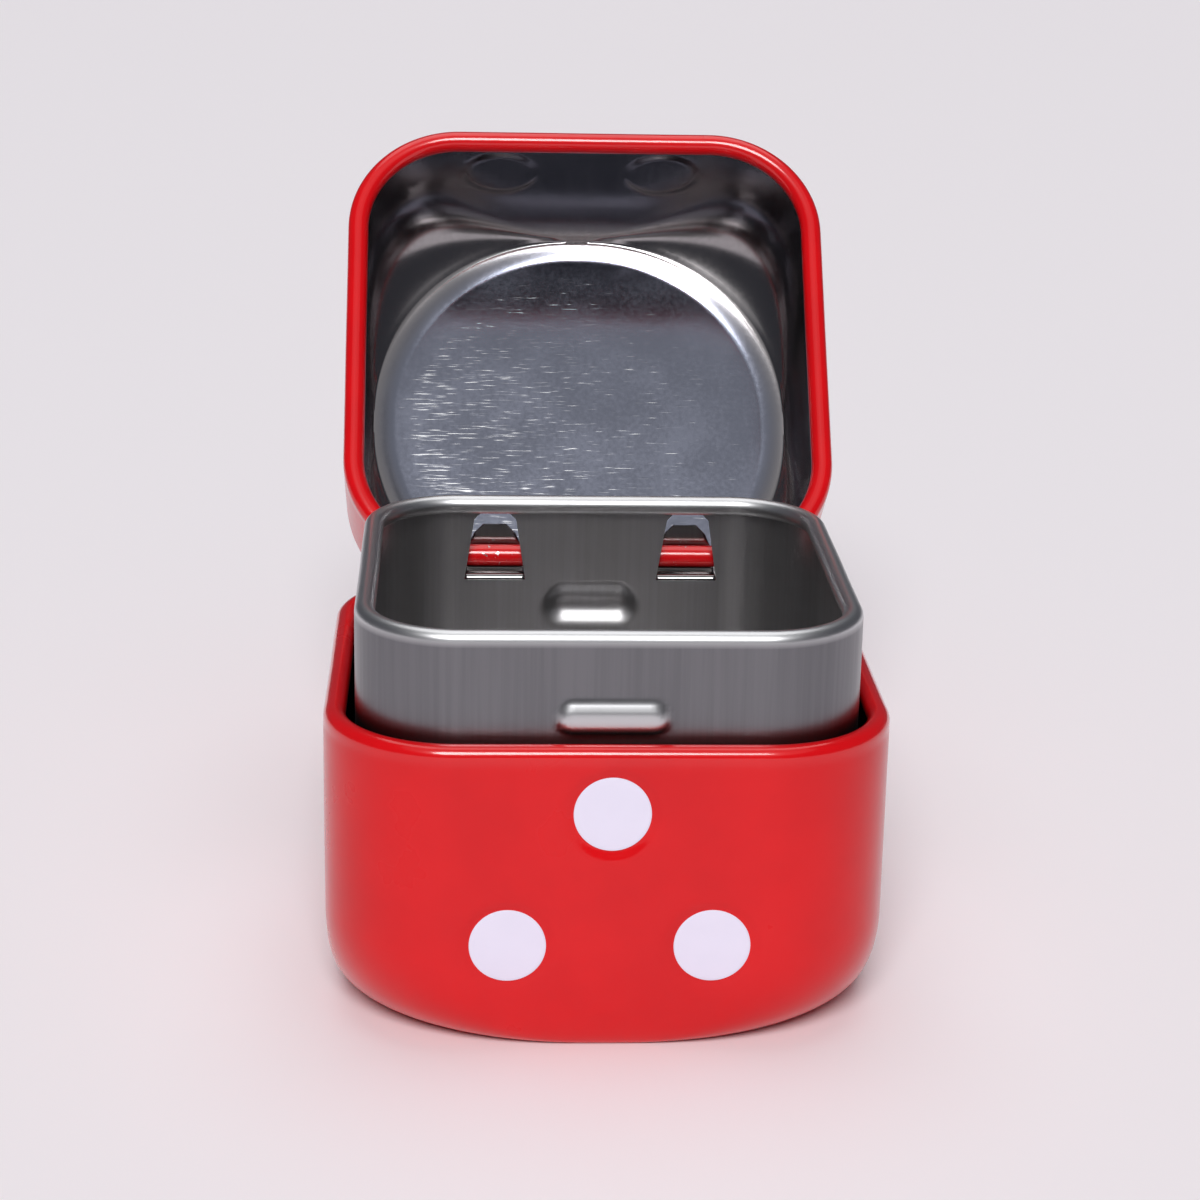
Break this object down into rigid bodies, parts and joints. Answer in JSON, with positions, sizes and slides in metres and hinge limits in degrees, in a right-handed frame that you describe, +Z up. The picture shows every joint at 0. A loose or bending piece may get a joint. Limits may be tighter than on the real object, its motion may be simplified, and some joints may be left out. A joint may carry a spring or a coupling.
{
  "type": "hinged die tin",
  "caption": "Small cube-shaped steel tin with rounded corners and die pips, a bare metal liner cup, and a hinged lid that leans back open.",
  "frame": {"origin": "on the floor, under the middle of the square body", "axes": "+X to the right seen from the front, +Y to the hinge side at the back, +Z up"},
  "size_m": [0.06, 0.1127, 0.0825],
  "materials": {
    "red_lacquer": "gloss red lacquer outside, bare inside",
    "tinplate": "bare drawn tinplate",
    "white_enamel": "white enamel"
  },
  "bodies": {
    "tin": {"body_pip_front_1": "white_enamel", "body_pip_front_2": "white_enamel", "body_pip_front_3": "white_enamel", "body_pip_left_1": "white_enamel", "body_pip_left_2": "white_enamel", "body_pip_rear_1": "white_enamel", "body_pip_right_1": "white_enamel", "body_pip_right_2": "white_enamel", "body_shell": "red_lacquer", "hinge_lug_left": "tinplate", "hinge_lug_right": "tinplate", "liner_cup": "tinplate"},
    "lid": {"lid_pip_front_1": "white_enamel", "lid_pip_front_2": "white_enamel", "lid_pip_left_1": "white_enamel", "lid_pip_rear_1": "white_enamel", "lid_pip_right_1": "white_enamel", "lid_pip_right_2": "white_enamel", "lid_shell": "red_lacquer"}
  },
  "joints": [
    {"name": "lid_hinge", "type": "hinge", "parent": "tin", "child": "lid", "pos_m": [0, 0.0288, 0.0368], "axis": [1, 0, 0], "range_deg": [0, 129.4]}
  ]
}
